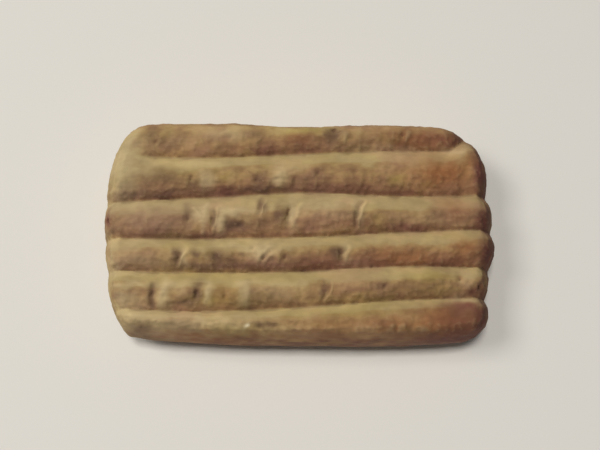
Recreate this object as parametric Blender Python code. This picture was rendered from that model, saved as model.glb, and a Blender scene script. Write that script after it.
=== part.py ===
# Clay seal: a hand-sized block of fired clay, ruled by five long grooves into six bands.
# Lengths are in metres. +X runs along the grooves, +Y towards the back edge and +Z up.
# The block lies on its flat underside, and the origin is at the middle of that underside.

import math

import bmesh
import bpy

# Overall sizes of the block.
LENGTH = 0.0760
WIDTH = 0.0438
THICKNESS = 0.0190
WAIST_HEIGHT = 0.0096  # the level where the sides stand out furthest

# How far the rounding of the top reaches in from each side, and that of the underside.
FRONT_ROUNDING = 0.0026
BACK_ROUNDING = 0.0030
LEFT_ROUNDING = 0.0036
RIGHT_ROUNDING = 0.0034
FOOT_ROUNDING = 0.0040

# The corners of the outline seen from above: reach along X, reach along Y and fullness.
# A fullness of 2 is an ellipse, and more is squarer.
CORNERS = {
    "front_left": (0.0095, 0.0130, 2.2),
    "front_right": (0.0120, 0.0066, 2.4),
    "back_left": (0.0100, 0.0172, 2.5),
    "back_right": (0.0176, 0.0132, 2.5),
}

# The top is pressed slightly round, so it falls by these amounts to the ends and to the long sides.
LEFT_FALL = 0.0010
RIGHT_FALL = 0.0020
SIDE_FALL = 0.0004
LUMP_HEIGHT = 0.00014
LUMP_LENGTH = 0.0150

# Each groove's run from the left end to the right, as shares of half the width, front groove first.
GROOVE_RUNS = (
    (-0.717, -0.744, -0.713, -0.645, -0.608),
    (-0.380, -0.409, -0.400, -0.353, -0.354),
    (-0.104, -0.113, -0.106, -0.054, -0.014),
    (0.217, 0.255, 0.298, 0.272, 0.298),
    (0.652, 0.614, 0.649, 0.684, 0.702),
)
GROOVE_DEPTHS = (0.00115, 0.00130, 0.00130, 0.00150, 0.00125)
CURL_START = 0.0285  # from here to its right end the back groove turns up into the corner
CURL_LENGTH = 0.0055
CURL_RISE = 0.0032
FADE_START = 0.0055  # and it dies away before it reaches the left end
FADE_LENGTH = 0.0060

# Each band from front to back: how far forward of the back groove its crest lies.
CREST_PLACES = (0.70, 0.64, 0.66, 0.62, 0.70, 0.76)
FRONT_SLOPE = 2.8  # 1 is a straight slope, more keeps the fall close to the groove
BACK_SLOPE = 1.5

# How far each band's end stands back from the full length, front band first.
END_SETBACKS = {
    "left": (0.0015, 0.0012, 0.0006, 0.0, 0.0002, 0.0003),
    "right": (0.0016, 0.0015, 0.0, 0.0002, 0.0006, 0.0007),
}
END_NOTCHES = {"left": 0.0003, "right": 0.0010}  # how far the grooves bite into the ends
NOTCH_FADE = 0.0025  # none of the bite is left where a corner is cut back this far

# The long edges waver a little: setbacks from the full width, left to right.
FRONT_WAVER = (0.0023, 0.0012, 0.0005, 0.0003, 0.0002, 0.0005, 0.0013)
BACK_WAVER = (0.0001, 0.0, 0.0001, 0.0008, 0.0003, 0.0005, 0.0008)

# Rows of stylus strokes, one row to a band, front band first.
# Each stroke has its place along the block as a share of the length, and its lean in degrees,
# and then its lower and its upper end as shares of the band's width.
STROKE_ROWS = (
    ((-0.384, -19, 0.12, 0.45), (-0.097, -36, 0.26, 0.53), (-0.061, -45, 0.30, 0.53), (0.238, 12, 0.12, 0.38)),
    (
        (-0.357, 3, 0.12, 0.66), (-0.250, 18, 0.18, 0.67), (-0.180, 5, 0.13, 0.57),
        (0.065, 21, 0.12, 0.60), (0.210, 45, 0.23, 0.52), (0.397, -7, 0.28, 0.80),
    ),
    (
        (-0.297, 16, 0.16, 0.69), (-0.204, -44, 0.25, 0.57), (-0.086, 39, 0.17, 0.59),
        (-0.034, 28, 0.17, 0.53), (0.105, 13, 0.22, 0.64),
    ),
    (
        (-0.276, -2, 0.22, 0.69), (-0.216, 2, 0.14, 0.69), (-0.099, 12, 0.47, 0.85),
        (-0.026, 13, 0.18, 0.83), (0.145, 13, 0.16, 0.81),
    ),
    ((-0.270, 6, 0.25, 0.60), (-0.107, -4, 0.15, 0.51), (-0.011, 10, 0.13, 0.48), (0.046, 6, 0.34, 0.56)),
    ((-0.362, 16, 0.18, 0.48), (0.264, 9, 0.23, 0.62)),
)
STROKE_WIDTH = 0.0014
STROKE_DEPTH = 0.00045

# Chips out of the edges: band, place across it, place along the block, then length, width and depth.
CHIPS = (
    (5, 0.68, 0.091, 0.0036, 0.0028, 0.0012),
    (3, 0.50, -0.484, 0.0018, 0.0026, 0.0010),
    (1, 0.34, 0.452, 0.0032, 0.0020, 0.0008),
)

# How finely the surface is divided.
TOP_STEPS = 56
FOOT_STEPS = 10
ROUNDING_STEPS = 4
BAND_STEPS = (0.0, 0.09, 0.22, 0.38, 0.56, 0.74, 0.88)
FRONT_STEPS = 3
END_PASSES = 12
EDGE_ANGLES = tuple(math.radians(a) for a in (11, 26, 42, 58, 74))

BANDS = len(CREST_PLACES)


def clamp(value, low=0.0, high=1.0):
    return max(low, min(high, value))


def smooth_step(value):
    value = clamp(value)
    return value * value * (3 - 2 * value)


def along(values, share):
    """Reads a smooth curve through evenly spaced values, at a share from 0 to 1."""
    place = clamp(share) * (len(values) - 1)
    i = min(int(place), len(values) - 2)
    t = place - i
    before, a, b, after = (values[clamp(k, 0, len(values) - 1)] for k in (i - 1, i, i + 1, i + 2))
    slope_a = (b - before) / 2
    slope_b = (after - a) / 2
    cubic = 2 * (a - b) + slope_a + slope_b
    square = 3 * (b - a) - 2 * slope_a - slope_b
    return ((cubic * t + square) * t + slope_a) * t + a


def line_y(line, x):
    """Y of a long line at x: 0 is the front edge, then the grooves, and BANDS is the back edge."""
    share = x / LENGTH + 0.5
    if line == 0:
        return -WIDTH / 2 + along(FRONT_WAVER, share)
    if line == BANDS:
        return WIDTH / 2 - along(BACK_WAVER, share)
    y = WIDTH / 2 * along(GROOVE_RUNS[line - 1], share)
    if line == BANDS - 1:
        y += CURL_RISE * smooth_step((x - CURL_START) / CURL_LENGTH)
    return y


def slice_y(band, t, x):
    """Y of a slice at x, for t from 0 at the band's front line to 1 at its back line."""
    front = line_y(band, x)
    return front + t * (line_y(band + 1, x) - front)


def groove_depth(line, x):
    """Depth of a groove at x. The long edges have none, because their rounding takes its place."""
    if line in (0, BANDS):
        return 0.0
    depth = GROOVE_DEPTHS[line - 1]
    if line == BANDS - 1:
        depth *= smooth_step((x + LENGTH / 2 - FADE_START) / FADE_LENGTH)
    return depth


def below_crest(band, t, x):
    """How far the surface lies below the band's crest, falling to the groove on either side."""
    crest = CREST_PLACES[band]
    if t < crest:
        return groove_depth(band, x) * (1 - t / crest) ** FRONT_SLOPE
    return groove_depth(band + 1, x) * ((t - crest) / (1 - crest)) ** BACK_SLOPE


def lump(x, y):
    """Shallow unevenness left by the hand."""
    k = 2 * math.pi / LUMP_LENGTH
    short_waves = math.sin(k * x + 0.7) * math.cos(0.8 * k * y)
    long_waves = math.sin(0.43 * k * x - 0.6 * k * y + 2.0)
    return LUMP_HEIGHT * (short_waves + long_waves)


def quarter_round(distance, reach):
    """Share of the full height at a distance in from the side, for a rounding of that reach."""
    return math.sqrt(1 - (1 - clamp(distance / reach)) ** 2)


def top_height(band, t, x):
    """Height of the top at x on a slice, with the rounding of the long sides but not of the ends."""
    y = slice_y(band, t, x)
    end_fall = RIGHT_FALL if x > 0 else LEFT_FALL
    z = THICKNESS - end_fall * (2 * x / LENGTH) ** 2 - SIDE_FALL * (2 * y / WIDTH) ** 2
    z += lump(x, y) - below_crest(band, t, x)
    share = quarter_round(y - line_y(0, x), FRONT_ROUNDING)
    share *= quarter_round(line_y(BANDS, x) - y, BACK_ROUNDING)
    return WAIST_HEIGHT + (z - WAIST_HEIGHT) * share


def foot_height(band, t, x):
    y = slice_y(band, t, x)
    inset = min(y - line_y(0, x), line_y(BANDS, x) - y)
    return WAIST_HEIGHT * (1 - quarter_round(inset, FOOT_ROUNDING))


def corner_cut(y, side):
    """How far the rounded corners pull the left or the right end in at y."""
    row, sign = ("back", 1) if y > 0 else ("front", -1)
    reach_x, reach_y, fullness = CORNERS[f"{row}_{side}"]
    into = clamp(1 - (WIDTH / 2 - sign * y) / reach_y)
    return reach_x * (1 - (1 - into ** fullness) ** (1 / fullness))


def end_x(band, t, side):
    """X of the block's left or right end on a slice."""
    sign = 1 if side == "right" else -1
    setback = along(END_SETBACKS[side], (band + t - 0.5) / (BANDS - 1))
    x = sign * LENGTH / 2
    for _ in range(END_PASSES):  # the slice bends, so the y at its own end is the one that counts
        reached = sign * (LENGTH / 2 - setback - corner_cut(slice_y(band, t, x), side))
        x = (x + reached) / 2
    return x


def surface_height(band, t, x):
    """Height of the top at x on a slice, with the rounding of the ends as well."""
    share = quarter_round(x - end_x(band, t, "left"), LEFT_ROUNDING)
    share *= quarter_round(end_x(band, t, "right") - x, RIGHT_ROUNDING)
    return WAIST_HEIGHT + (top_height(band, t, x) - WAIST_HEIGHT) * share


def end_points(band, t, side, reach):
    """The rounded end of a slice from the top down to the underside, as x and z."""
    sign = 1 if side == "right" else -1
    edge = end_x(band, t, side)
    top_z = top_height(band, t, edge - sign * reach)
    bite = END_NOTCHES[side] * below_crest(band, t, edge) / max(GROOVE_DEPTHS)
    bite *= 1 - clamp(corner_cut(slice_y(band, t, edge), side) / NOTCH_FADE)
    points = []
    for step in range(1, 2 * ROUNDING_STEPS):
        angle = math.pi / 2 * (1 - step / ROUNDING_STEPS)
        if angle >= 0:
            x = edge - sign * reach * (1 - math.cos(angle))
            z = WAIST_HEIGHT + (top_z - WAIST_HEIGHT) * math.sin(angle)
        else:
            x = edge - sign * FOOT_ROUNDING * (1 - math.cos(angle))
            z = WAIST_HEIGHT + (WAIST_HEIGHT - foot_height(band, t, x)) * math.sin(angle)
        points.append((x - sign * bite * smooth_step(z / WAIST_HEIGHT), z))
    return points


def slice_points(band, t):
    """One closed loop round the block: over the top, down the right end and back under."""
    left = end_x(band, t, "left")
    right = end_x(band, t, "right")
    start = left + LEFT_ROUNDING
    stop = right - RIGHT_ROUNDING
    outline = []
    for step in range(TOP_STEPS + 1):
        x = start + (stop - start) * step / TOP_STEPS
        outline.append((x, top_height(band, t, x)))
    outline += end_points(band, t, "right", RIGHT_ROUNDING)
    start = right - FOOT_ROUNDING
    stop = left + FOOT_ROUNDING
    for step in range(FOOT_STEPS + 1):
        x = start + (stop - start) * step / FOOT_STEPS
        outline.append((x, foot_height(band, t, x)))
    outline += reversed(end_points(band, t, "left", LEFT_ROUNDING))
    return [(x, slice_y(band, t, x), z) for x, z in outline]


def edge_shares(band, reach):
    """Shares of a long edge's band, from its edge inwards, that follow the edge's rounding."""
    width = line_y(band + 1, 0.0) - line_y(band, 0.0)
    return [clamp(reach * (1 - math.cos(angle)) / width) for angle in EDGE_ANGLES]


def slice_places():
    """Band and place across it for every slice, front to back, closer together on the rounded sides."""
    front = edge_shares(0, FRONT_ROUNDING)
    back = edge_shares(BANDS - 1, BACK_ROUNDING)
    places = [(0, t) for t in front]
    for step in range(1, FRONT_STEPS):
        places.append((0, front[-1] + (1 - front[-1]) * step / FRONT_STEPS))
    for band in range(1, BANDS - 1):
        places += [(band, t) for t in BAND_STEPS]
    places += [(BANDS - 1, t * (1 - back[-1])) for t in BAND_STEPS]
    return places + [(BANDS - 1, 1 - t) for t in reversed(back)]


def link_mesh(name, mesh):
    data = bpy.data.meshes.new(name)
    mesh.to_mesh(data)
    mesh.free()
    data.shade_smooth()
    thing = bpy.data.objects.new(name, data)
    bpy.context.collection.objects.link(thing)
    return thing


def make_block():
    """The block as one closed mesh skinned over its slices, and how far it was moved to be centred."""
    mesh = bmesh.new()
    loops = [[mesh.verts.new(p) for p in slice_points(band, t)] for band, t in slice_places()]
    for front, back in zip(loops, loops[1:]):
        for i in range(len(front)):
            j = (i + 1) % len(front)
            mesh.faces.new((front[i], front[j], back[j], back[i]))
    mesh.faces.new(loops[0])
    mesh.faces.new(loops[-1][::-1])
    bmesh.ops.recalc_face_normals(mesh, faces=mesh.faces)
    bmesh.ops.triangulate(mesh, faces=mesh.faces)
    shift = []
    for axis in range(2):
        values = [v.co[axis] for v in mesh.verts]
        shift.append(-(min(values) + max(values)) / 2)
    bmesh.ops.translate(mesh, verts=mesh.verts, vec=(shift[0], shift[1], 0))
    return link_mesh("clay_seal", mesh), shift


def add_wedge(mesh, tips, across, width, depth):
    """A pointed wedge that sinks between two tips on the surface and rises the same amount above it."""
    middle = [(a + b) / 2 for a, b in zip(*tips)]
    x, y, z = middle
    half = width / 2
    ring = (
        (x + across[0] * half, y + across[1] * half, z + depth / 2),
        (x, y, z - depth),
        (x - across[0] * half, y - across[1] * half, z + depth / 2),
        (x, y, z + 2 * depth),
    )
    ends = [mesh.verts.new(p) for p in tips]
    ring = [mesh.verts.new(p) for p in ring]
    for i in range(len(ring)):
        for end in ends:
            mesh.faces.new((ring[i], ring[(i + 1) % len(ring)], end))


def add_strokes(mesh, shift):
    """The rows of stylus strokes, each from the lower to the upper part of its band."""
    for band, row in enumerate(STROKE_ROWS):
        for share, lean, low, high in row:
            middle_x = share * LENGTH
            lean = math.radians(lean)
            span_y = (high - low) * (line_y(band + 1, middle_x) - line_y(band, middle_x))
            offset = span_y * math.tan(lean) / 2
            tips = []
            for t, x in ((low, middle_x - offset), (high, middle_x + offset)):
                tips.append((x + shift[0], slice_y(band, t, x) + shift[1], surface_height(band, t, x)))
            rise = surface_height(band, (low + high) / 2, middle_x) - (tips[0][2] + tips[1][2]) / 2
            tips = [(x, y, z + clamp(rise, 0.0, STROKE_DEPTH)) for x, y, z in tips]
            add_wedge(mesh, tips, (math.cos(lean), -math.sin(lean)), STROKE_WIDTH, STROKE_DEPTH)


def add_chips(mesh, shift):
    """The places where the edges have broken away."""
    for band, t, share, length, width, depth in CHIPS:
        x = share * LENGTH
        y = slice_y(band, t, x) + shift[1]
        z = surface_height(band, t, x)
        tips = [(x + shift[0] + sign * length / 2, y, z) for sign in (-1, 1)]
        add_wedge(mesh, tips, (0.0, -1.0), width, depth)


def make_cutter(shift):
    """One body that holds every stroke and chip, to be taken out of the block."""
    mesh = bmesh.new()
    add_strokes(mesh, shift)
    add_chips(mesh, shift)
    bmesh.ops.recalc_face_normals(mesh, faces=mesh.faces)
    cutter = link_mesh("stroke_cutter", mesh)
    cutter.hide_render = True
    cutter.display_type = "WIRE"
    return cutter


def clay():
    material = bpy.data.materials.new("fired clay")
    material.use_nodes = True
    surface = material.node_tree.nodes["Principled BSDF"]
    surface.inputs["Base Color"].default_value = (0.31, 0.20, 0.10, 1.0)
    surface.inputs["Roughness"].default_value = 0.88
    surface.inputs["Metallic"].default_value = 0.0
    return material


def main():
    for old in list(bpy.data.objects):
        bpy.data.objects.remove(old, do_unlink=True)
    block, shift = make_block()
    block.data.materials.append(clay())
    cut = block.modifiers.new("strokes", "BOOLEAN")
    cut.operation = "DIFFERENCE"
    cut.object = make_cutter(shift)


main()
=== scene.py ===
# Clay seal: a palm-sized block of fired clay, ruled into bands and marked with a stylus.
# Lengths are in metres. The block's are written as so many mm, the way one would measure it.

import math

import bpy
import numpy as np
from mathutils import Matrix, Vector, noise


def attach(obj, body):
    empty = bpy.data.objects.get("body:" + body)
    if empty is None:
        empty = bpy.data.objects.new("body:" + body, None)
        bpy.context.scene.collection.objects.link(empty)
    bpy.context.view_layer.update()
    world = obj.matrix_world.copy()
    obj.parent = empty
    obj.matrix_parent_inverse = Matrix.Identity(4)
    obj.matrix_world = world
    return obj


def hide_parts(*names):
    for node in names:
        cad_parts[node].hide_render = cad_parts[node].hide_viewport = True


mm = 0.001
noise.seed_set(5)  # so that the block comes out the same each time

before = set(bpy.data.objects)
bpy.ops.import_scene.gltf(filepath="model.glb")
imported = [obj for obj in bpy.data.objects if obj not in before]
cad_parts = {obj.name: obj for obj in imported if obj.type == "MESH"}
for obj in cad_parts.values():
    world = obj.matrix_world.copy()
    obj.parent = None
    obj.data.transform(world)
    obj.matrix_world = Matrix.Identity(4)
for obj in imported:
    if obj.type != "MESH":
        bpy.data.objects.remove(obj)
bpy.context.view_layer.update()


# Colours are written as sRGB hex values, and the nodes take them linear.
def linearColour(hexColour):
    channels = [int(hexColour[i:i + 2], 16) / 255 for i in (1, 3, 5)]
    return [c / 12.92 if c <= 0.04045 else ((c + 0.055) / 1.055) ** 2.4 for c in channels] + [1.0]


# Adds a node with its settings and links. A colour ramp has its stops as a place and a colour each.
def addNode(tree, kind, settings=None, links=None):
    node = tree.nodes.new(kind)
    for key, value in (settings or {}).items():
        if key == "stops":
            ramp = node.color_ramp
            for i, (place, colour) in enumerate(value):
                stop = ramp.elements[i] if i < 2 else ramp.elements.new(place)
                stop.position = place
                stop.color = linearColour(colour)
        elif isinstance(key, int) or key in node.inputs:
            node.inputs[key].default_value = value
        else:
            setattr(node, key, value)
    for key, source in (links or {}).items():
        tree.links.new(source, node.inputs[key])
    return node


def pickOnly(thing):
    bpy.ops.object.select_all(action="DESELECT")
    thing.select_set(True)
    bpy.context.view_layer.objects.active = thing


def applyModifier(thing, kind, name, settings):
    pickOnly(thing)
    modifier = thing.modifiers.new(name, kind)
    for key, value in settings.items():
        setattr(modifier, key, value)
    bpy.ops.object.modifier_apply(modifier=name)


def readPoints(thing):
    points = np.zeros(len(thing.data.vertices) * 3, np.float32)
    thing.data.vertices.foreach_get("co", points)
    return points.reshape(-1, 3).astype(float)


def readNormals(thing):
    normals = np.zeros(len(thing.data.vertices) * 3, np.float32)
    thing.data.vertex_normals.foreach_get("vector", normals)
    return normals.reshape(-1, 3).astype(float)


faintest = 0.001  # weights below this aren't painted


def paintWeights(thing, name, weights):
    group = thing.vertex_groups.new(name=name)
    for i in np.nonzero(weights > faintest)[0]:
        group.add([int(i)], float(weights[i]), "REPLACE")


def storeShare(thing, name, values):
    attribute = thing.data.attributes.new(name, "FLOAT", "POINT")
    attribute.data.foreach_set("value", np.clip(values, 0, 1).astype(np.float32))


def smoothStep(values, low, high):
    share = np.clip((values - low) / (high - low), 0, 1)
    return share * share * (3 - 2 * share)


# The block: a copy of the solid, given an even fine mesh that takes the hand's and time's marks.
block = {
    "merge": 0.002 * mm,  # corners of the solid that are closer than this are one
    "voxel": 0.26 * mm,
    "smoothing": 5,
    "lowerPart": 12 * mm,  # the sides below this are plain and can have fewer faces
    "sides": 0.33,  # share of the faces that they keep
    "underside": 0.05,  # and that the flat underside keeps
    "foot": (0.4 * mm, 1.6 * mm),  # it stands flat: no wear up to the first, all past the second
}


def makeBlock():
    bpy.ops.object.select_all(action="DESELECT")
    piece = bpy.data.objects.new("sealBody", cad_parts["clay_seal"].data.copy())
    bpy.context.collection.objects.link(piece)
    pickOnly(piece)
    bpy.ops.object.mode_set(mode="EDIT")
    bpy.ops.mesh.select_all(action="SELECT")
    bpy.ops.mesh.remove_doubles(threshold=block["merge"])
    bpy.ops.object.mode_set(mode="OBJECT")
    applyModifier(piece, "REMESH", "evenMesh", {
        "mode": "VOXEL", "voxel_size": block["voxel"], "use_smooth_shade": True})
    applyModifier(piece, "SMOOTH", "softened", {"iterations": block["smoothing"]})
    return piece


# The underside is flat and the lower sides are plain, so the ruled face can have more of the faces.
def thinFaces(piece, low, high, share):
    pickOnly(piece)
    bpy.ops.object.mode_set(mode="EDIT")
    bpy.ops.mesh.select_all(action="DESELECT")
    bpy.ops.object.mode_set(mode="OBJECT")
    for face in piece.data.polygons:
        face.select = low < face.center.z < high
    bpy.ops.object.mode_set(mode="EDIT")
    bpy.ops.mesh.decimate(ratio=share)
    bpy.ops.object.mode_set(mode="OBJECT")
    piece.data.shade_smooth()


sealBody = makeBlock()
flat = block["voxel"] / 2  # faces no higher than this lie in the underside
thinFaces(sealBody, -flat, flat, block["underside"])
thinFaces(sealBody, flat, block["lowerPart"], block["sides"])
print("block meshed,", len(sealBody.data.vertices), "points")


# Evens out what the points hold, such as their places. In each pass a point goes halfway to the mean of
# its neighbours.
def evenOut(piece, values, passes):
    edges = np.zeros(len(piece.data.edges) * 2, np.int32)
    piece.data.edges.foreach_get("vertices", edges)
    edges = edges.reshape(-1, 2)
    count = np.bincount(edges.ravel(), minlength=len(values))[:, None]
    smooth = values.copy()
    for _ in range(passes):
        total = np.zeros_like(smooth)
        for axis in range(3):
            total[:, axis] += np.bincount(edges[:, 0], smooth[edges[:, 1], axis], len(values))
            total[:, axis] += np.bincount(edges[:, 1], smooth[edges[:, 0], axis], len(values))
        smooth = (smooth + total / count) / 2
    return smooth


# A slow wander of places, in mm, so that what is pressed or painted has worn edges and not drawn ones.
def wander(points, across, reach):
    return reach * np.array([noise.noise_vector(Vector(p) / across) for p in points])


# How each point lies in its band. A ledge rises from the groove behind it and faces the back, and the
# slope in front of its crest falls to the next groove. This paints light and shade into the colour: the
# ledge lighter and the slope darker, as under a lamp behind, and the left end lighter and the right end and
# the sides darker, as under a lamp on the left. The long edges are rounded further over than the slopes
# are, and there the painted light and shade are weaker.
lie = {
    "upper": (0.35, 0.80),  # how far the surface looks up where the sides go over into the top
    "backEdge": (16.0, 18.5),  # mm behind the middle, where the long edge turns over
    "frontEdge": (15.5, 18.5),  # and in front of it
    "left": (0.1, 0.7),  # how far the surface looks to the left where the left end starts
    "right": (0.3, 0.9),  # and to the right for the right end
    "litLeftEnd": 0.14,  # painted lighter, as lit from the left
    "shadedRightEnd": 0.45,  # painted darker, as in shade from a lamp on the left
    "wall": 0.3,  # how much painted shade the front side gets beside a slope
    "shadedBackWall": 0.12,  # and the painted shade on the back side
}


def storePaintedLight(piece):
    places = readPoints(piece) / mm
    normals = readNormals(piece)
    upper = smoothStep(normals[:, 2], *lie["upper"])
    backEdge = smoothStep(places[:, 1], *lie["backEdge"])
    frontEdge = smoothStep(-places[:, 1], *lie["frontEdge"])
    backward = np.maximum(normals[:, 1], 0)
    forward = np.minimum(normals[:, 1], 0)
    # Painted light and shade: ledges facing back lighter, slopes facing forward darker.
    ledges = backward * upper * (1 - backEdge)
    slopes = forward * (upper + lie["wall"] * (1 - upper)) * (1 - frontEdge * upper)
    litLeftEnd = lie["litLeftEnd"] * smoothStep(-normals[:, 0], *lie["left"])
    shadedRightEnd = lie["shadedRightEnd"] * smoothStep(normals[:, 0], *lie["right"])
    shadedBackWall = lie["shadedBackWall"] * backward * (1 - upper)
    storeShare(piece, "tilt", 0.5 + ledges + slopes + litLeftEnd - shadedRightEnd - shadedBackWall)  # 0.5 is level
    return upper, normals[:, 1]


upper, facingBack = storePaintedLight(sealBody)


# The solid's stroke cuts are sharp, and wear has rounded their walls and filled their floors. They are
# found by walls that face along the block, which no groove has.
cuts = {
    "spread": 6,  # passes that carry what is found on the walls to the floors
    "steep": (0.10, 0.25),  # how far a wall looks along the block
    "reach": 33 * mm,  # the ends lie beyond this, and keep their form
    "smoothing": 24,
}


def softenCuts(piece):
    facing = evenOut(piece, np.abs(readNormals(piece)), cuts["spread"])[:, 0]
    inside = np.abs(readPoints(piece)[:, 0]) < cuts["reach"]
    paintWeights(piece, "cuts", upper * inside * smoothStep(facing, *cuts["steep"]))
    applyModifier(piece, "SMOOTH", "wornCuts", {"iterations": cuts["smoothing"], "vertex_group": "cuts"})


softenCuts(sealBody)
print("cuts worn")


# How deep each point lies below the surface when that is evened out, in shares of a reach.
def findHollows(piece, passes, reach):
    points = readPoints(piece)
    return ((evenOut(piece, points, passes) - points) * readNormals(piece)).sum(1) / reach


# The grooves were drawn with the edge of a tool, so their floors are narrow and crisp.
grooves = {
    "passes": 50,  # of evening out, which shows where the floors are
    "reach": 0.30 * mm,  # how deep a floor lies that is cut in full
    "cut": 0.22 * mm,  # how much deeper their floors are made
}


def crispGrooves(piece):
    hollow = findHollows(piece, grooves["passes"], grooves["reach"])
    paintWeights(piece, "grooveFloors", upper * np.clip(hollow, 0, 1))
    applyModifier(piece, "DISPLACE", "crispFloors", {
        "direction": "Z", "strength": -grooves["cut"], "mid_level": 0.0, "vertex_group": "grooveFloors"})


crispGrooves(sealBody)
print("grooves cut")


# Marks in the bands, back band first: kind, where each starts and ends, how wide it is and
# how deep or high, in mm. A stroke has a long wall on its left, a short steep one on its right and a
# pushed-up lip. A hollow is a blunt dent, and a ridge is clay pushed up beside one.
marks = {
    "rows": (
        (("hollow", 6.6, 19.2, 6.7, 16.6, 2.8, 0.4), ("ridge", 9.3, 18.6, 8.5, 15.9, 1.3, 0.22),
         ("hollow", 20.3, 18.6, 19.9, 16.5, 1.7, 0.1), ("ridge", 21.7, 18.8, 20.8, 16.3, 1.0, 0.2),
         ("ridge", 18.2, 18.3, 18.1, 16.5, 0.8, 0.12), ("hollow", -27.2, 17.7, -27.9, 15.3, 2.0, 0.06)),
        (("ridge", -17.6, 10.5, -18.0, 6.9, 2.5, 0.28), ("hollow", -20.4, 10.3, -20.7, 7.5, 1.5, 0.2),
         ("hollow", -8.2, 10.1, -8.0, 7.3, 1.7, 0.3), ("ridge", -3.6, 11.1, -3.8, 7.3, 2.7, 0.28),
         ("hollow", -0.6, 10.2, -1.1, 7.3, 1.7, 0.22), ("hollow", 3.6, 10.9, 3.4, 9.1, 0.8, 0.15),
         ("ridge", -12.0, 11.1, -13.5, 7.9, 1.9, 0.12)),
        (("ridge", -19.9, 3.6, -18.3, 0.6, 1.0, 0.25), ("ridge", -17.2, 4.5, -18.1, 0.6, 1.0, 0.25),
         ("ridge", -18.1, 1.2, -18.0, -1.7, 1.3, 0.25), ("stroke", -16.3, 3.2, -16.5, -1.7, 1.1, 0.4),
         ("ridge", -14.3, 2.0, -15.2, -1.7, 1.5, 0.3), ("ridge", -14.2, 2.4, -9.2, 2.0, 1.0, 0.22),
         ("hollow", -13.3, -0.4, -10.0, -0.2, 1.9, 0.55), ("stroke", -7.2, 4.9, -7.9, 1.6, 1.1, 0.35),
         ("stroke", -1.3, 4.9, -2.6, -0.8, 2.7, 0.6), ("stroke", 11.6, 4.7, 10.4, -0.4, 1.5, 0.5),
         ("hollow", -21.0, 3.0, -20.9, -0.7, 1.9, 0.2), ("hollow", -5.1, 1.4, -6.2, -1.0, 1.9, 0.2)),
        (("stroke", -22.1, -4.4, -23.1, -7.8, 1.7, 0.5), ("hollow", -19.8, -5.1, -18.5, -6.7, 1.3, 0.3),
         ("hollow", -16.5, -5.2, -14.5, -7.3, 1.9, 0.35),
         ("ridge", -17.8, -4.4, -17.2, -7.2, 1.1, 0.15), ("hollow", -12.3, -6.1, -11.4, -6.5, 1.0, 0.2),
         ("hollow", -9.2, -5.0, -8.2, -5.0, 1.0, 0.25), ("ridge", -4.7, -3.9, -7.8, -6.9, 1.0, 0.28),
         ("hollow", -5.4, -5.0, -7.6, -7.7, 1.1, 0.25), ("ridge", -3.4, -4.8, -6.1, -7.3, 0.8, 0.2),
         ("hollow", -2.0, -5.4, -3.2, -7.7, 1.5, 0.25), ("stroke", 8.3, -4.2, 7.7, -6.9, 1.7, 0.5)),
        (("hollow", -27.0, -11.2, -27.2, -15.7, 1.3, 0.5),
         ("ridge", -24.0, -10.8, -25.9, -15.7, 1.9, 0.35),
         ("hollow", -18.4, -11.4, -19.6, -15.0, 1.5, 0.45),
         ("ridge", -15.9, -11.6, -17.7, -15.1, 1.3, 0.3),
         ("hollow", -22.4, -14.8, -19.8, -14.8, 1.1, 0.25),
         ("ridge", -10.0, -10.7, -10.3, -15.7, 2.1, 0.3),
         ("hollow", -13.5, -12.0, -13.8, -15.3, 1.7, 0.2),
         ("ridge", -34.5, -9.6, -28.1, -9.5, 0.6, 0.18),
         ("ridge", -34.4, -11.7, -27.7, -11.7, 0.8, 0.18),
         ("hollow", -31.5, -10.6, -28.5, -10.6, 0.8, 0.15),
         ("stroke", 5.6, -11.2, 4.3, -14.6, 1.1, 0.3), ("hollow", 0.2, -11.8, 0.2, -14.4, 1.1, 0.15),
         ("hollow", 30.0, -8.9, 30.4, -12.0, 0.9, 0.14), ("ridge", 31.7, -8.9, 31.6, -11.9, 1.9, 0.12),
         ("hollow", 32.0, -12.3, 34.8, -12.5, 1.9, 0.4), ("hollow", 16.9, -11.0, 15.0, -12.9, 1.5, 0.1)),
        (("hollow", -29.5, -18.4, -28.9, -20.1, 2.3, 0.3),
         ("ridge", -30.7, -17.1, -31.9, -19.5, 1.0, 0.2),
         ("hollow", -7.9, -18.5, -6.8, -20.0, 1.3, 0.3), ("hollow", -5.3, -18.5, -4.0, -19.8, 1.3, 0.3),
         ("hollow", -1.5, -19.4, -2.0, -20.9, 1.1, 0.2), ("ridge", 17.2, -18.8, 16.7, -20.8, 1.1, 0.22),
         ("hollow", 18.3, -18.8, 17.9, -20.7, 1.0, 0.2), ("ridge", 19.2, -18.8, 18.6, -20.8, 1.1, 0.2),
         ("ridge", 23.1, -19.0, 22.5, -21.0, 1.7, 0.25), ("hollow", 20.9, -19.2, 20.4, -20.8, 1.1, 0.2)),
    ),
    "deepest": 0.65,  # no mark is deeper or higher, in mm
    "shallower": 0.70,  # rubbing has left every mark this much of its depth
    "wider": 1.35,  # and made it this many times as wide
    "waver": (1.8, 0.55),  # how far apart the wavers of a mark's walls lie, and how wide they are
    "taper": (1.1, 0.4),  # how wide a mark starts, and how much of that it loses on the way
    "startsOver": (-0.6, 0.8),  # in half widths from its start, where it grows to its depth
    "endsOver": (-1.0, 1.0),  # and from its end, where it runs out
    "walls": (-1.1, 0.35, 0.95),  # a stroke's left rim, floor and right rim, in half widths to the right
    "lip": (1.1, 0.30, 0.13),  # where its lip is and how far it reaches, in half widths, and its height
    "roundness": 1.5,  # of a hollow or a ridge
    "fullPaintedLight": {"pressed": 0.5, "raised": 0.3},  # the depth, in mm, that has all of its painted shade, and the height that has all of its painted highlight
}


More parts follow.
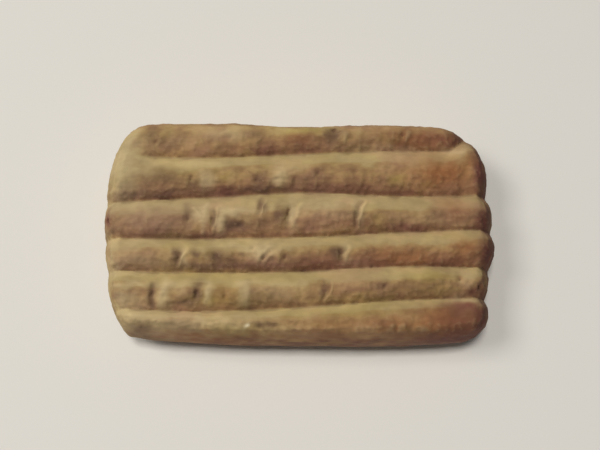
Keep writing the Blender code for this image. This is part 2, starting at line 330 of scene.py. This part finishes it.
# Where each place lies beside a mark, in half widths to its right, and how much of its depth the mark
# has there.
def layMark(places, start, end, width):
    run = end - start
    length = np.linalg.norm(run)
    run /= length
    along = (places - start) @ run
    across = (places - start) @ np.array([-run[1], run[0]])
    wide, loss = marks["taper"]
    half = marks["wider"] * width / 2 * (wide - loss * np.clip(along / length, 0, 1))
    startsOver = [share * half for share in marks["startsOver"]]
    endsOver = [length + share * half for share in marks["endsOver"]]
    return across / half, smoothStep(along, *startsOver) * (1 - smoothStep(along, *endsOver))


def pressMarks(piece):
    points = readPoints(piece) / mm
    places = (points + wander(points, *marks["waver"]))[:, :2]
    leftRim, floor, rightRim = marks["walls"]
    lipPlace, lipReach, lipHeight = marks["lip"]
    pressed = np.zeros(len(points))
    raised = np.zeros(len(points))
    for row in marks["rows"]:
        for kind, startX, startY, endX, endY, width, height in row:
            beside, run = layMark(places, np.array([startX, startY]), np.array([endX, endY]), width)
            worn = upper * run * marks["shallower"] * height
            if kind == "stroke":
                walls = smoothStep(beside, leftRim, floor) * (1 - smoothStep(beside, floor, rightRim))
                lip = upper * run * lipHeight * np.exp(-((beside - lipPlace) / lipReach) ** 2)
                pressed = np.maximum(pressed, worn * walls)
                raised = np.maximum(raised, lip)
            elif kind == "hollow":
                pressed = np.maximum(pressed, worn * np.exp(-marks["roundness"] * beside ** 2))
            else:
                raised = np.maximum(raised, worn * np.exp(-marks["roundness"] * beside ** 2))
    # Besides moving the clay, the marks paint shade into the pressed ones and a highlight onto the raised
    # ones.
    for name, height, sign in (("pressed", pressed, -1), ("raised", raised, 1)):
        storeShare(piece, name, height / marks["fullPaintedLight"][name])
        paintWeights(piece, name + "Marks", height / marks["deepest"])
        applyModifier(piece, "DISPLACE", name + "Clay", {
            "direction": "Z", "strength": sign * marks["deepest"] * mm, "mid_level": 0.0,
            "vertex_group": name + "Marks"})


pressMarks(sealBody)
print("marks pressed")


# Time's marks. Each is a cloudy swell of the surface: its size across, how many times longer it is along
# the block than across, its height and where it acts. The ledges are rubbed, and the slopes stay rough.
wear = {
    "swells": {
        "lumps": (6.0 * mm, 1, 0.30 * mm, "worn"),
        "dents": (2.6 * mm, 1, 0.40 * mm, "rough"),
        "strokesOfTheHand": (1.2 * mm, 7, 0.08 * mm, "worn"),
        "pits": (1.1 * mm, 1, 0.04 * mm, "rough"),
    },
    "rubbed": 0.85,  # share of the roughness that a ledge has lost
    "crest": (-0.12, 0.12),  # how far the surface looks back where a slope goes over into a ledge
}


def wearSurface(piece):
    heights = readPoints(piece)[:, 2]
    worn = smoothStep(heights, *block["foot"])
    paintWeights(piece, "worn", worn)
    ledge = smoothStep(facingBack * upper, *wear["crest"])
    paintWeights(piece, "rough", worn * (1 - wear["rubbed"] * ledge))
    bpy.ops.object.empty_add()
    stretch = bpy.context.object
    for name, (across, longer, height, place) in wear["swells"].items():
        texture = bpy.data.textures.new(name, "CLOUDS")
        texture.noise_scale = across / 2  # a cloud is a swell and a dip
        texture.noise_depth = 1
        stretch.scale.x = longer
        bpy.context.view_layer.update()
        applyModifier(piece, "DISPLACE", name, {
            "texture": texture, "texture_coords": "OBJECT", "texture_coords_object": stretch,
            "strength": height, "mid_level": 0.5, "vertex_group": place})
    bpy.data.objects.remove(stretch)


wearSurface(sealBody)
print("surface worn")


# Painted shade for the hollows and a painted highlight for the fine ridges. Each kind of hollow is found by
# so many passes of evening out, and is full at this depth.
relief = {"fineHollow": (8, 0.06 * mm), "broadHollow": (60, 0.30 * mm)}

for name, (passes, reach) in relief.items():
    storeShare(sealBody, name, 0.5 + findHollows(sealBody, passes, reach) / 2)
print("relief stored,", sum(len(face.vertices) - 2 for face in sealBody.data.polygons), "triangles")


# Stains, and painted light and shade, placed one by one. The pale and sage patches include painted
# highlights on lit ridges and faces and on the left end, and the dark and plum ones painted shade in the
# marks, at the right end and along the front side. Their colours are laid on in this order. The places of
# each kind, back band first, have their middle, their reach along and across the block, all in mm, and
# their strength.
stainsAndPaintedLight = {
    "colours": {
        "pale": "#BFAB80", "sage": "#AE9F78", "olive": "#A08C4C", "mauve": "#8E6F58",
        "rust": "#8E5831", "plum": "#6C3E33", "dark": "#5E4434", "cream": "#F0E2BC"},
    "places": {
        "pale": (
            (-13.7, 18.0, 4.6, 1.4, 0.45), (21.0, 15.2, 10.0, 0.7, 0.3), (30.3, 14.9, 2.5, 0.6, 0.8),
            (32.3, 16.0, 1.1, 0.8, 0.5), (-18.9, 11.9, 7.6, 1.0, 0.3), (-17.5, 8.7, 1.3, 1.7, 0.6),
            (-3.6, 9.2, 1.5, 1.6, 0.6), (-28.2, 3.7, 8.4, 0.8, 0.3), (-18.5, 2.0, 1.5, 1.7, 0.75),
            (-14.7, 0.8, 1.1, 1.8, 0.85), (-11.9, 2.2, 2.5, 0.6, 0.85), (-1.3, 1.9, 0.7, 2.5, 0.7),
            (5.9, 3.3, 5.0, 1.6, 0.35), (11.3, 2.2, 0.6, 2.3, 0.6), (-30.5, -6.8, 5.7, 1.7, 0.35),
            (-29.9, -3.1, 6.9, 0.8, 0.3), (-21.9, -6.1, 0.5, 1.7, 0.7), (-12.5, -4.4, 5.5, 1.1, 0.35),
            (-6.9, -5.4, 1.9, 1.3, 0.75), (8.8, -5.4, 0.8, 1.6, 0.6), (-31.5, -9.4, 3.4, 0.5, 0.5),
            (-31.4, -11.7, 3.4, 0.4, 0.5), (-31.4, -14.3, 3.6, 1.4, 0.35),
            (-25.0, -13.0, 1.1, 2.6, 0.8), (-21.7, -12.3, 1.5, 1.2, 0.3),
            (-16.8, -13.3, 0.7, 1.9, 0.85), (-10.2, -12.9, 1.1, 2.3, 0.6), (-4.6, -12.6, 4.6, 1.8, 0.3),
            (31.4, -10.4, 1.3, 1.7, 0.2), (31.5, -14.3, 3.4, 0.5, 0.8), (-30.7, -17.5, 2.7, 1.7, 0.6),
            (-26.6, -17.5, 2.3, 1.2, 0.4), (-20.8, -18.9, 14.0, 1.5, 0.55),
            (2.0, -20.3, 24.0, 0.8, 0.35)),
        "sage": (
            (-34.2, 7.9, 2.3, 4.3, 0.45), (-32.8, 12.9, 3.0, 5.8, 0.6), (-35.0, -7.1, 1.1, 3.9, 0.4),
            (-32.8, -14.3, 1.5, 2.7, 0.4)),
        "olive": (
            (1.2, 18.8, 4.6, 1.0, 0.75), (-14.1, 9.5, 2.7, 1.2, 0.4), (18.9, 8.8, 1.9, 1.2, 0.6),
            (-16.0, -14.6, 9.0, 1.3, 0.45), (-14.7, -9.9, 24.8, 1.0, 0.4), (7.6, -14.4, 15.2, 1.0, 0.3),
            (24.5, -9.8, 4.6, 1.2, 0.6), (26.0, -12.6, 7.0, 1.3, 0.35), (-10.8, -20.0, 5.7, 1.0, 0.4),
            (5.7, -16.7, 15.2, 1.0, 0.4)),
        "mauve": (
            (-28.1, 0.9, 8.0, 2.3, 0.8), (27.0, 1.2, 6.5, 2.2, 0.5), (-32.6, -5.8, 3.8, 1.6, 0.3)),
        "rust": (
            (0.2, 16.7, 2.7, 1.2, 0.4), (24.0, 17.0, 7.0, 2.0, 0.65), (27.5, 10.4, 6.2, 3.1, 0.85),
            (33.6, 12.8, 1.8, 2.2, 0.5), (29.7, 3.1, 3.0, 1.9, 0.5), (20.0, -6.2, 8.6, 1.6, 0.55),
            (31.3, -4.3, 2.7, 1.9, 0.6), (-13.5, -14.0, 2.1, 1.7, 0.3), (-19.0, -21.2, 12.0, 1.1, 0.6),
            (5.7, -20.0, 7.6, 1.9, 0.5), (18.6, -19.0, 7.6, 1.6, 0.5), (28.0, -18.0, 6.5, 2.7, 0.8)),
        "plum": (
            (-9.4, 15.1, 10.5, 0.7, 0.35), (27.3, 17.1, 5.0, 1.9, 0.55), (-13.9, 6.7, 2.7, 0.8, 0.6),
            (35.1, 11.2, 1.4, 5.0, 1.0), (-36.4, 1.2, 1.3, 1.7, 0.9), (8.7, 0.4, 2.7, 1.2, 0.4),
            (12.4, 0.2, 2.3, 1.2, 0.5), (21.3, -0.4, 4.6, 0.6, 0.7), (35.2, 1.0, 1.4, 2.4, 0.9),
            (4.9, -6.9, 2.7, 1.2, 0.5), (35.9, -4.9, 1.4, 2.7, 1.0), (31.4, -15.8, 4.2, 0.9, 0.9),
            (33.3, -12.5, 1.7, 0.9, 0.9), (4.0, -22.4, 28.6, 0.8, 0.85), (28.8, -21.3, 8.4, 1.6, 0.9),
            (31.0, -17.8, 5.0, 1.6, 0.3), (31.5, -19.0, 5.0, 2.6, 0.6), (34.0, -18.3, 1.3, 3.5, 0.8)),
        "dark": (
            (-28.8, 17.9, 1.9, 1.2, 0.4), (-25.8, 16.3, 4.2, 1.9, 0.5), (6.7, 17.5, 1.5, 1.8, 0.85),
            (12.7, 16.8, 3.4, 1.6, 0.3), (-27.4, 6.2, 8.0, 0.7, 0.7), (-26.5, 9.2, 5.0, 1.9, 0.65),
            (-20.4, 8.1, 1.0, 1.0, 0.5), (-7.6, 8.7, 1.7, 1.6, 0.6), (-7.0, 6.9, 5.7, 0.6, 0.8),
            (2.1, 8.7, 4.6, 1.7, 0.35), (-35.7, -1.1, 1.9, 0.6, 0.6), (-21.0, 2.0, 1.3, 1.8, 0.7),
            (-15.8, 0.4, 0.5, 1.9, 0.6), (-11.8, 0.0, 2.3, 1.3, 0.9), (-7.7, 0.0, 2.7, 1.6, 0.35),
            (-7.0, 3.7, 0.8, 1.6, 0.75), (-3.6, 1.6, 1.1, 1.9, 0.75), (-23.0, -6.1, 1.0, 1.4, 0.8),
            (-19.3, -5.7, 1.1, 1.1, 0.8), (-16.6, -8.0, 7.6, 0.7, 0.7), (-15.3, -6.3, 1.7, 1.3, 0.85),
            (-10.1, -5.8, 1.5, 0.6, 0.4), (-2.0, -6.5, 1.9, 1.4, 0.4), (7.0, -5.6, 1.1, 1.3, 0.85),
            (-27.1, -13.2, 0.7, 2.3, 0.55), (-21.4, -14.9, 2.4, 0.6, 0.75),
            (-18.7, -13.3, 1.0, 1.7, 0.8), (4.6, -12.6, 0.6, 1.6, 0.5), (15.4, -11.4, 1.9, 1.0, 0.3),
            (-29.3, -19.2, 1.5, 1.2, 0.6), (-6.8, -19.2, 1.0, 0.6, 0.6), (-4.8, -19.2, 0.8, 0.6, 0.6)),
        "cream": (
            (-9.9, -19.1, 0.5, 0.4, 1.0),),
    },
    "fade": 0.9,  # how fast a stain fades towards its edge
    "waver": (2.0, 0.9),  # how far apart the wavers of its edge lie, and how wide they are
    "heights": (2, 7),  # mm above the foot, below which the plain sides have none
}


def paintStainsAndLight(piece):
    points = readPoints(piece) / mm
    places = (points + wander(points, *stainsAndPaintedLight["waver"]))[:, :2]
    above = smoothStep(points[:, 2], *stainsAndPaintedLight["heights"])
    for kind, spots in stainsAndPaintedLight["places"].items():
        clean = np.ones(len(points))
        for x, y, alongReach, acrossReach, strength in spots:
            away = ((places - (x, y)) / (alongReach, acrossReach)) ** 2
            clean *= 1 - strength * np.exp(-stainsAndPaintedLight["fade"] * away.sum(1))
        storeShare(piece, kind + "StainAndPaintedLight", above * (1 - clean))


paintStainsAndLight(sealBody)
print("stains painted")


# Fired clay, coarse and low fired, handled for a long time: a matt, slightly chalky surface, olive tan
# to red brown, with painted light and shade: lighter on the ledges that face back, darker on the slopes,
# the sides and the hollows.
clay = {
    "tones": (  # painted light and shade, by the lie of the surface
        (0.00, "#7B543E"),  # a side
        (0.34, "#93714C"),  # a slope
        (0.50, "#A08355"),  # a crest
        (0.66, "#A79265")),  # a ledge
    "olivePatch": "#A08C4C",
    "rosePatch": "#A98068",
    "relief": (  # what it goes by, from where to where, the most of it, and the colour it gives: painted shade in pressed marks and hollows, and a painted highlight on raised marks and fine ridges
        ("pressed", 0.1, 1.0, 0.40, "#5C4432"), ("raised", 0.1, 1.0, 0.50, "#B9A47A"),
        ("broadHollow", 0.70, 1.0, 0.35, "#5E3F2E"), ("fineHollow", 0.75, 1.0, 0.12, "#50382A"),
        ("fineHollow", 0.28, 0.10, 0.12, "#B39B70")),
    "roughness": 0.9,
    "ior": 1.5,
    "patches": 7.0 * mm,
    "mottle": 3.2 * mm,
    "cloud": {"Detail": 3.0, "Roughness": 0.55},
    "drawnOut": (0.6, 1.0, 1.0),  # along the block, because the clay was smoothed that way
    "aside": (200 * mm, 100 * mm, 0),  # so that the rose patches don't lie where the olive ones do
    "grit": 0.4 * mm,  # coarser than real grit, so that it shows
    "grain": {"Detail": 2.0, "Roughness": 0.6},
    "gritHeight": 0.05 * mm,
    "gritStrength": 0.10,
    # How far the mottle moves the tones, how strongly a patch shows, and how dark and light the mottle is.
    "ragged": {"From Min": 0.32, "From Max": 0.68, "To Min": -0.17, "To Max": 0.17},
    "patchShare": {"From Min": 0.50, "From Max": 0.70, "To Max": 0.4},
    "lightness": {"From Min": 0.30, "From Max": 0.70, "To Min": 0.83, "To Max": 1.17},
}


def makeFiredClay():
    material = bpy.data.materials.new("firedClay")
    material.use_nodes = True
    tree = material.node_tree
    tree.nodes.clear()

    place = addNode(tree, "ShaderNodeTexCoord")
    drawnOut = addNode(tree, "ShaderNodeMapping", {"Scale": clay["drawnOut"]},
                       {"Vector": place.outputs["Object"]})
    elsewhere = addNode(tree, "ShaderNodeMapping", {"Location": clay["aside"]},
                        {"Vector": drawnOut.outputs[0]})
    mottle = addNode(tree, "ShaderNodeTexNoise", {"Scale": 1 / clay["mottle"], **clay["cloud"]},
                     {"Vector": drawnOut.outputs[0]})
    olives = addNode(tree, "ShaderNodeTexNoise", {"Scale": 1 / clay["patches"], **clay["cloud"]},
                     {"Vector": drawnOut.outputs[0]})
    roses = addNode(tree, "ShaderNodeTexNoise", {"Scale": 1 / clay["patches"], **clay["cloud"]},
                    {"Vector": elsewhere.outputs[0]})
    grit = addNode(tree, "ShaderNodeTexNoise", {"Scale": 1 / clay["grit"], **clay["grain"]},
                   {"Vector": place.outputs["Object"]})

    # The body colour is painted light and shade by the lie of the surface, with a ragged edge between the
    # tones.
    tilt = addNode(tree, "ShaderNodeAttribute", {"attribute_name": "tilt"})
    uneven = addNode(tree, "ShaderNodeMapRange", clay["ragged"], {"Value": mottle.outputs[0]})
    ragged = addNode(tree, "ShaderNodeMath", {"operation": "ADD"},
                     {0: uneven.outputs[0], 1: tilt.outputs["Fac"]})
    tones = addNode(tree, "ShaderNodeValToRGB", {"stops": clay["tones"]}, {"Fac": ragged.outputs[0]})

    # Over it lie large faint patches, then the stain colours with their painted light and shade, then
    # painted shade in the hollows and marks and a painted highlight on ridges and lips.
    layers = []
    for cloud, colour in ((olives, clay["olivePatch"]), (roses, clay["rosePatch"])):
        share = addNode(tree, "ShaderNodeMapRange", clay["patchShare"], {"Value": cloud.outputs[0]})
        layers.append((share.outputs[0], colour))
    for kind, colour in stainsAndPaintedLight["colours"].items():
        share = addNode(tree, "ShaderNodeAttribute", {"attribute_name": kind + "StainAndPaintedLight"})
        layers.append((share.outputs["Fac"], colour))
    for name, low, high, most, colour in clay["relief"]:
        depth = addNode(tree, "ShaderNodeAttribute", {"attribute_name": name})
        share = addNode(tree, "ShaderNodeMapRange", {"From Min": low, "From Max": high, "To Max": most},
                        {"Value": depth.outputs["Fac"]})
        layers.append((share.outputs[0], colour))
    body = tones.outputs["Color"]
    for share, colour in layers:  # a mix's share is socket 0, and its two colours are 6 and 7
        body = addNode(tree, "ShaderNodeMix", {"data_type": "RGBA", 7: linearColour(colour)},
                       {0: share, 6: body}).outputs[2]

    lightness = addNode(tree, "ShaderNodeMapRange", clay["lightness"], {"Value": mottle.outputs[0]})
    body = addNode(tree, "ShaderNodeHueSaturation", links={"Color": body, "Value": lightness.outputs[0]})
    bump = addNode(tree, "ShaderNodeBump", {
        "Strength": clay["gritStrength"], "Distance": clay["gritHeight"]}, {"Height": grit.outputs[0]})
    surface = addNode(tree, "ShaderNodeBsdfPrincipled", {
        "Roughness": clay["roughness"], "IOR": clay["ior"]},
        {"Base Color": body.outputs[0], "Normal": bump.outputs[0]})
    addNode(tree, "ShaderNodeOutputMaterial", links={"Surface": surface.outputs["BSDF"]})
    return material


sealBody.data.materials.clear()
sealBody.data.materials.append(makeFiredClay())
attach(sealBody, "root")
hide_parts("clay_seal")
print("block finished")


# The studio: a pale sheet of paper in a dim room. The paper has two lamps of its own, one nearly overhead
# and one on the left, for a thin shadow in front and a soft one on the right. The block has two as well:
# one from above, and one that rakes across it from behind on the left to bring out its grooves.
studio = {
    "paper": "#E3E2DD",
    "paperRoughness": 0.95,
    "floorSize": 3.0,
    "room": ("#FFFFFF", 0.10),  # the colour and strength of the light that comes from all round
    "ceiling": {"place": (-0.28, -0.13, 0.75), "size": 0.35, "power": 3.4, "colour": "#FFFAF4"},
    "raking": {"place": (-0.40, 0.50, 0.50), "size": 0.30, "power": 4.3, "colour": "#FFFAF4"},
    "sheetLamp": {"place": (-0.04, 0.0, 0.75), "size": 0.12, "power": 2.9, "colour": "#FFFAF4"},
    "sideLamp": {"place": (-0.40, 0.05, 0.75), "size": 0.25, "power": 2.4, "colour": "#FFFAF4"},
}


def addLamp(name, reach):
    lamp = studio[name]
    bpy.ops.object.light_add(type="AREA", location=lamp["place"])
    light = bpy.context.object
    light.name = name
    light.rotation_euler = Vector(lamp["place"]).to_track_quat("Z", "Y").to_euler()  # it faces the block
    light.data.size = lamp["size"]
    light.data.energy = lamp["power"]
    light.data.color = linearColour(lamp["colour"])[:3]
    lit = bpy.data.collections.new(name + "Reach")  # the lamp lights this thing alone
    lit.objects.link(reach)
    light.light_linking.receiver_collection = lit


# Uncoated paper: an even pale grey with no gloss, so that only the block's shadow shows on it.
def makeMattPaper():
    paper = bpy.data.materials.new("mattPaper")
    paper.use_nodes = True
    sheet = paper.node_tree.nodes["Principled BSDF"]
    sheet.inputs["Base Color"].default_value = linearColour(studio["paper"])
    sheet.inputs["Roughness"].default_value = studio["paperRoughness"]
    return paper


def makeStudio():
    bpy.ops.object.select_all(action="DESELECT")
    bpy.ops.mesh.primitive_plane_add(size=studio["floorSize"])
    floor = bpy.context.object
    floor.name = "paperFloor"
    floor.data.materials.append(makeMattPaper())
    for name in ("ceiling", "raking"):
        addLamp(name, sealBody)
    for name in ("sheetLamp", "sideLamp"):
        addLamp(name, floor)
    world = bpy.data.worlds.new("dimRoom")
    world.use_nodes = True
    background = world.node_tree.nodes["Background"]
    background.inputs["Color"].default_value = linearColour(studio["room"][0])
    background.inputs["Strength"].default_value = studio["room"][1]
    bpy.context.scene.world = world


makeStudio()

camera = {
    "lens": 60,
    "elevation": 76,  # degrees above the table
    "distance": 198 * mm,
    "target": (0.2 * mm, 2.2 * mm, 9.0 * mm),
    "nearest": 1 * mm,
}


def makeCamera():
    tilt = math.radians(camera["elevation"])
    place = Vector(camera["target"]) + camera["distance"] * Vector((0, -math.cos(tilt), math.sin(tilt)))
    bpy.ops.object.camera_add(location=place, rotation=(math.pi / 2 - tilt, 0, 0))
    view = bpy.context.object
    view.data.lens = camera["lens"]
    view.data.clip_start = camera["nearest"]
    bpy.context.scene.camera = view


makeCamera()
bpy.context.scene.view_settings.view_transform = "Standard"  # shows the colours as they are mixed
print("studio and camera set")
